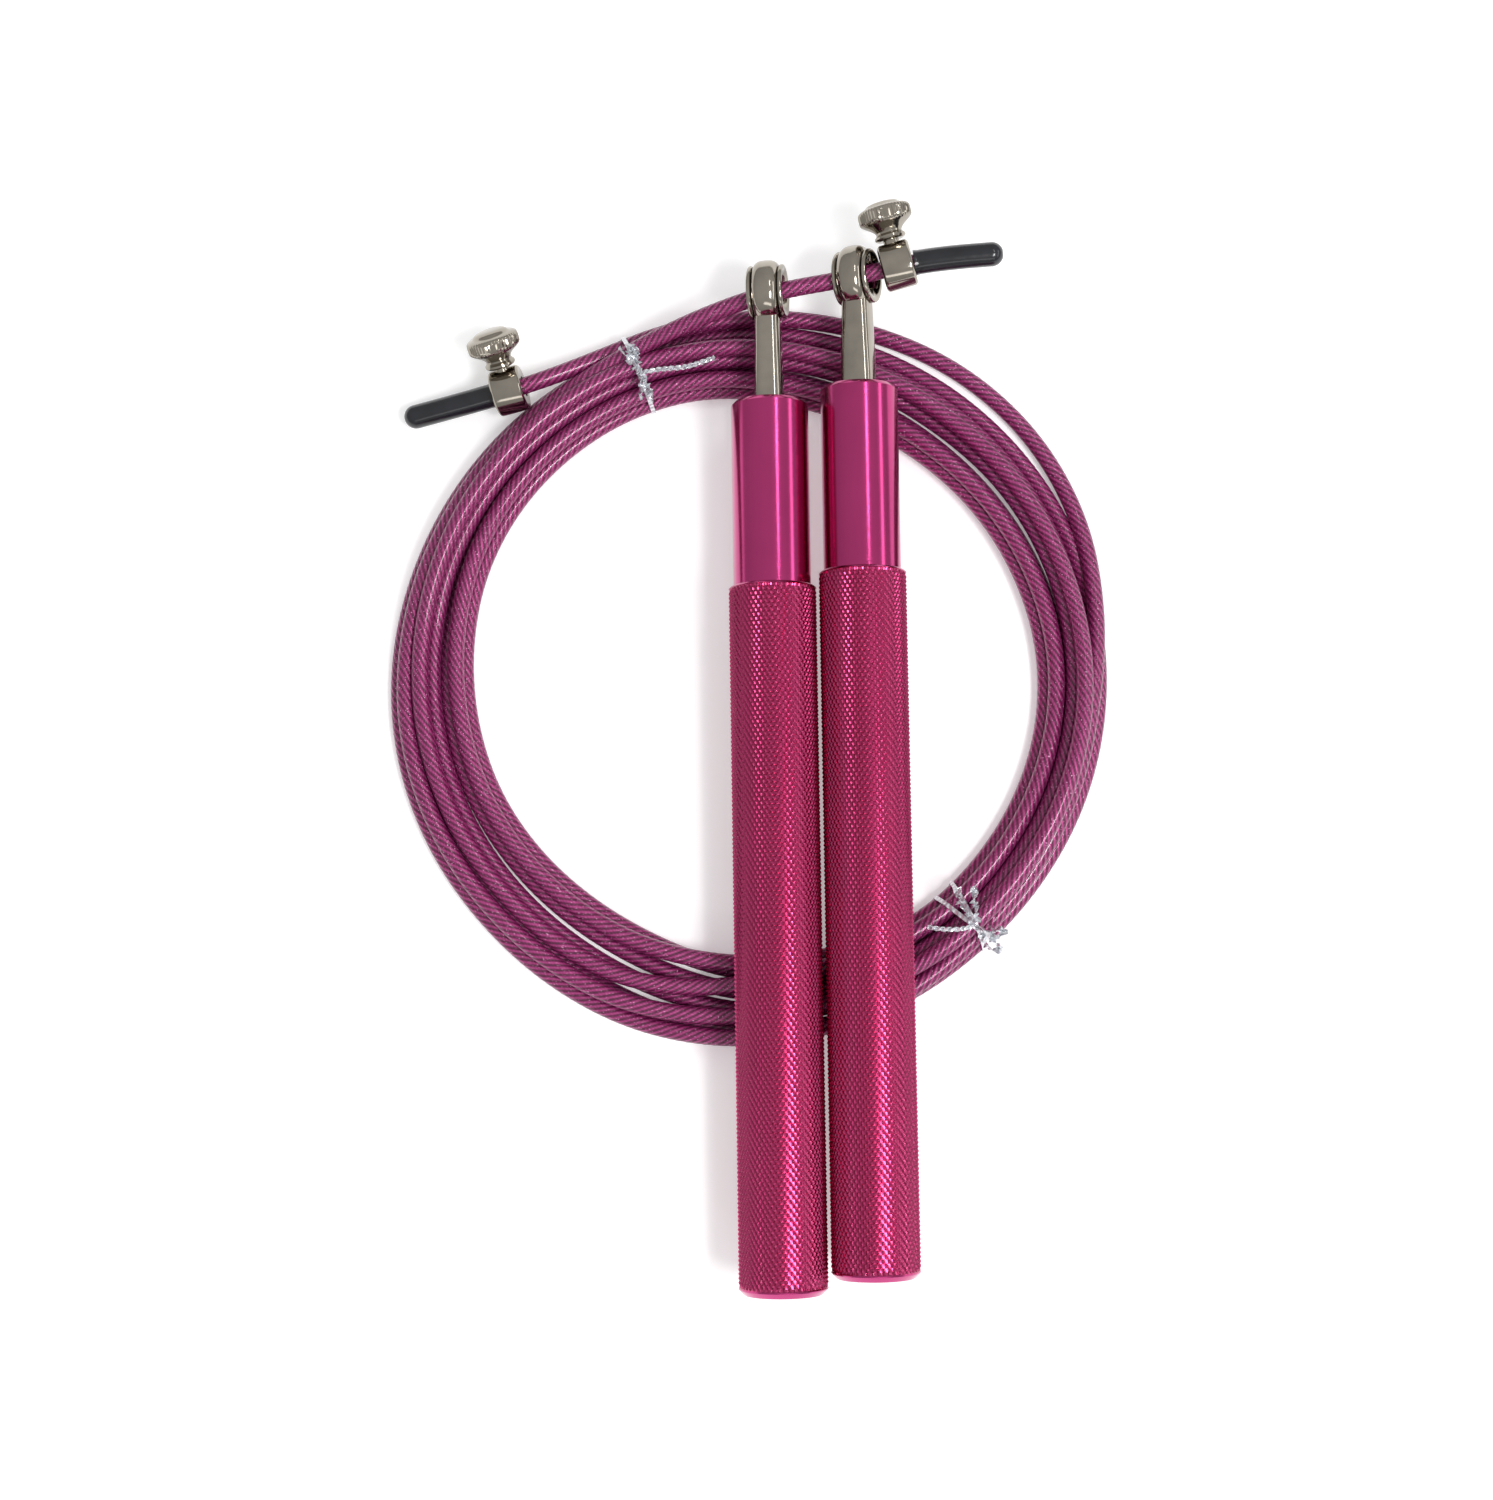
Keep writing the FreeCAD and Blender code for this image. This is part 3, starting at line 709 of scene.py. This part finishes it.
def lock(side):
    """Collar round the cable, its thumb screw, and the cap on the cable's cut end."""
    place = LOCKS[side]
    centre = np.array(place["centre"]) * MM
    screw_axis, cable_axis = np.array(place["screw"]), np.array(place["cable"])

    points, faces = turned(in_metres(COLLAR), 96, frame_along(centre, cable_axis, screw_axis))
    piece = make_piece(f"{side}_lock_collar", points, faces, 25)
    piece.data.materials.append(NICKEL)
    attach(piece, "rope")
    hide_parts(f"{side}_collar")

    a = np.arange(4 * SERRATIONS) * TAU / 4
    grooves = 0.13 * MM * (1 - triangle_wave(a / TAU))
    rim = np.clip((np.array([r for s, r in SCREW]) - 4.4) / 0.3, 0, 1)
    points, faces = turned(in_metres(SCREW), 4 * SERRATIONS, frame_along(centre, screw_axis, cable_axis),
                           rim[:, None] * grooves)
    piece = make_piece(f"{side}_lock_screw_knob", points, faces, 28)
    piece.data.materials.append(NICKEL)
    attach(piece, f"{side}_lock_screw")
    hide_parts(f"{side}_thumb_screw")

    # the cap is drawn along the cable itself, and carries on straight past the cable's end
    ordered = cable_line if side == "right" else cable_line[::-1]
    start = np.argmin(np.linalg.norm(ordered - (centre + cable_axis * 2.9 * MM), axis=1))
    run = ordered[start:]
    heading = run[-1] - run[-4]
    heading /= np.linalg.norm(heading)
    run = np.concatenate([run, run[-1] + heading * np.linspace(1, 8, 8)[:, None] * MM])
    run, along = evenly(run, CAP_STEP * MM)
    length = CAP_LENGTH[side] * MM
    run, along = run[along <= length], along[along <= length]
    to_tip = length - along
    radius = CAP_R * MM * np.sqrt(np.clip(1 - np.clip(1 - to_tip / (CAP_R * MM), 0, 1) ** 2, 0.004, 1))
    radius = radius + 0.12 * MM * np.exp(-(along / (0.45 * MM)) ** 2)
    columns = 48
    _, side_way, up = carried_frames(run)
    a = np.arange(columns)[None, :] * TAU / columns
    spoke = np.cos(a)[..., None] * side_way[:, None] + np.sin(a)[..., None] * up[:, None]
    skin = run[:, None] + radius[:, None, None] * spoke
    sleeve = (run[:, None] + (CABLE_R + 0.03 * MM) * spoke)[: int(CAP_SLEEVE / CAP_STEP)][::-1]
    grid = np.concatenate([sleeve, skin]).reshape(-1, 3)
    grid, faces = with_lids(grid, columns)
    piece = make_piece(f"{side}_tip_cap", grid, faces, 40)
    piece.data.materials.append(VINYL)
    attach(piece, "rope")
    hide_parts(f"{side}_end_cap")


# ==== twist ties ==================================================================================
def bundle_outline(angle, clearance):
    """Closed line round all the turns where they pass one angle of the coil.

    In direction t the outline reaches the furthest of the turns' centres plus the cable's radius; it is
    the curve h(t) n(t) + h'(t) n'(t) of that reach h.
    """
    at = np.radians(angle)
    outwards = np.array([math.cos(at), math.sin(at), 0.0])
    ahead = np.array([-math.sin(at), math.cos(at), 0.0])
    offset = cable_line - np.array([*COIL_CENTRE, 0.0])
    side = offset @ ahead
    crossing = np.nonzero((side[:-1] * side[1:] <= 0) & (offset[:-1] @ outwards > 0))[0]
    spots = np.stack([offset[crossing] @ outwards, cable_line[crossing, 2]], axis=1)
    spots = spots[np.abs(spots[:, 0] - np.median(spots[:, 0])) < 9 * MM]
    t = np.linspace(0, TAU, 721)[:-1]
    n = np.stack([np.cos(t), np.sin(t)], axis=1)
    reach = np.max(spots @ n.T, axis=0) + CABLE_R + clearance
    slope = (np.roll(reach, -1) - np.roll(reach, 1)) / (2 * TAU / 720)
    outline = reach[:, None] * n + slope[:, None] * np.stack([-n[:, 1], n[:, 0]], axis=1)
    outline[:, 1] = np.maximum(outline[:, 1], FLOOR_Z + 0.12 * MM)
    return outline, outwards, ahead, spots


def ribbon(line, wide_way, width, thick, closed=False):
    """Flat strip along a line: an oblong section width across wide_way and thick the other way."""
    tangent = np.roll(line, -1, 0) - np.roll(line, 1, 0) if closed else np.gradient(line, axis=0)
    tangent /= np.linalg.norm(tangent, axis=1)[:, None]
    flat = np.cross(tangent, wide_way)
    flat /= np.linalg.norm(flat, axis=1)[:, None]
    wide = np.cross(flat, tangent)
    a = np.arange(12) * TAU / 12
    w = width / 2 * np.sign(np.cos(a)) * np.abs(np.cos(a)) ** 0.4
    h = thick / 2 * np.sign(np.sin(a)) * np.abs(np.sin(a)) ** 0.4
    grid = line[:, None] + w[None, :, None] * wide[:, None] + h[None, :, None] * flat[:, None]
    grid = grid.reshape(-1, 3)
    if closed:
        return grid, outward(grid, grid_faces(len(line), 12, wrap_rows=True)).tolist()
    return with_lids(grid, 12)


def crumple(line, amount, seed):
    """The line shaken by a few sine waves of unlike lengths."""
    rng = np.random.default_rng(seed)
    t = np.linspace(0, 1, len(line))[:, None]
    shift = np.zeros((len(line), 3))
    for waves in (3, 7, 13):
        shift += amount / waves ** 0.5 * np.sin(TAU * (waves * t + rng.random(3))) * rng.uniform(0.5, 1, 3)
    return line + shift


def through(knots, count=60):
    """Smooth line through a few knots: each stretch is a cubic with slopes taken from its neighbours."""
    knots = np.array(knots, float) * MM
    slope = np.gradient(knots, axis=0)
    u = np.linspace(0, len(knots) - 1, count)
    k = np.minimum(u.astype(int), len(knots) - 2)
    f = (u - k)[:, None]
    a, b, p, q = knots[k], knots[k + 1], slope[k], slope[k + 1]
    return (a * (1 + 2 * f) * (1 - f) ** 2 + b * f * f * (3 - 2 * f)
            + p * f * (1 - f) ** 2 - q * f * f * (1 - f))


def twist_tie(name, node, angle, loops, tail, loose, seed):
    """Plastic strip with a wire in it: wound round the bundle, twisted on top, its ends left splayed."""
    outline, outwards, ahead, spots = bundle_outline(angle, 0.22 * MM)
    parts = []
    centre = np.array([*COIL_CENTRE, 0.0])
    for lean, shift in loops:
        line = centre + outline[:, :1] * outwards + outline[:, 1:] * np.array([0, 0, 1.0])
        line = line + ahead * (shift * MM + lean * (outline[:, :1] - outline[:, 0].mean()))
        closed, _ = evenly(np.concatenate([line, line[:1]]), 0.25 * MM)
        closed = closed[:-1]
        parts.append(ribbon(closed, ahead + 0 * closed, 0.8 * MM, 0.14 * MM, closed=True))
    top = centre + outwards * np.median(spots[:, 0]) + np.array([0, 0, outline[:, 1].max() + 0.35 * MM])
    line = through(tail)
    line[:, 2] += top[2]
    fine, along = evenly(line, 0.16 * MM)
    _, side_way, up = carried_frames(fine)
    for phase in (0.0, math.pi):
        a = TAU * along / (2.3 * MM) + phase
        spread = 0.22 * MM * (0.4 + 0.6 * np.clip(along / (1.5 * MM), 0, 1))
        strand = fine + (spread * np.cos(a))[:, None] * side_way + (spread * np.sin(a))[:, None] * up
        parts.append(ribbon(strand, np.cos(a / 2)[:, None] * up + np.sin(a / 2)[:, None] * side_way,
                            0.60 * MM, 0.22 * MM))
    for k, knots in enumerate(loose):
        line = through(knots, 90)
        line[:, 2] += top[2]
        line, _ = evenly(crumple(line, 0.22 * MM, seed + k), 0.2 * MM)
        sway = np.linspace(0, 1, len(line))[:, None] * TAU * 1.3 + k
        wide = np.cos(sway) * np.array([0, 0, 1.0]) + np.sin(sway) * outwards + 0.3 * ahead
        parts.append(ribbon(line, wide, 1.6 * MM, 0.15 * MM))
    piece = make_piece(name, *joined(*parts), 25)
    piece.data.materials.append(FOIL)
    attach(piece, "rope")
    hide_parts(node)


# ==== the scene ===================================================================================
make_camera()
cable, cable_line = make_cable()

MAGENTA = anodised("magenta_anodised_aluminium", 0.5)
NICKEL = nickel("polished_nickel_plate")
VINYL = black_vinyl("dipped_black_vinyl")
FOIL = tie_foil("clear_tie_strip")
NODE_LOOKS = {
    "end_plug": VINYL,
    "outer_ring": ground_steel("bearing_ring_steel", (0.55, 0.56, 0.58), 0.22),
    "inner_ring": ground_steel("inner_ring_steel", (0.60, 0.61, 0.63), 0.18),
    "balls": nickel("ball_steel", (0.72, 0.73, 0.75), (0.04, 0.08)),
    "cage": ground_steel("pressed_cage_steel", (0.42, 0.41, 0.38), 0.35),
    "shields": ground_steel("shield_steel", (0.50, 0.50, 0.52), 0.30),
    "bearing_spacer": ground_steel("turned_spacer_steel", (0.45, 0.46, 0.48), 0.38),
    "lock_nut": ground_steel("zinc_plated_nut", (0.52, 0.53, 0.50), 0.32),
    "circlip": ground_steel("spring_steel_clip", (0.20, 0.20, 0.21), 0.40),
}
for side in ("left", "right"):
    handle_tube(side)
    swivel(side)
    lock(side)

twist_tie("upper_tie", "upper_twist_tie", 108.5, [(0.06, 0.0)],
          [(-30.8, 70.0, 0.0), (-27.0, 70.5, 0.4), (-22.4, 70.9, 0.5), (-17.5, 72.5, 0.2)],
          [[(-30.8, 70.0, 0.1), (-32.3, 71.9, 0.9), (-34.2, 74.2, 0.2)],
           [(-30.8, 70.0, 0.1), (-31.4, 72.2, 1.0), (-31.6, 74.4, 0.2)],
           [(-30.8, 70.0, 0.2), (-32.6, 73.2, 1.2), (-32.0, 74.6, 0.6), (-31.2, 71.5, 0.6)],
           [(-30.7, 69.9, 0.1), (-30.4, 67.8, 0.6), (-30.9, 65.6, -0.5)],
           [(-30.7, 69.9, 0.1), (-29.6, 67.6, 0.8), (-28.6, 65.4, -0.6)]], 3)
twist_tie("lower_tie", "lower_twist_tie", 312.0, [(0.12, -0.5), (-0.30, 0.6)],
          [(26.6, -29.0, 0.0), (24.0, -29.6, 0.4), (21.0, -29.6, 0.5), (18.2, -29.2, 0.2)],
          [[(26.6, -28.6, 0.2), (24.2, -25.6, 1.2), (23.4, -22.6, 0.6)],
           [(26.8, -28.6, 0.2), (26.4, -25.0, 1.4), (26.6, -22.4, 0.4)],
           [(26.9, -29.0, 0.2), (30.0, -31.4, 1.2), (31.6, -30.0, 0.2), (29.4, -30.0, 0.8)],
           [(26.9, -29.2, 0.1), (28.6, -33.0, 0.8), (31.0, -33.4, -0.4), (29.2, -31.2, 0.4)]], 11)

for name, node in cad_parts.items():
    for ending, look in NODE_LOOKS.items():
        if name.endswith(ending):
            for holder in node.material_slots:
                holder.material = look

make_studio()
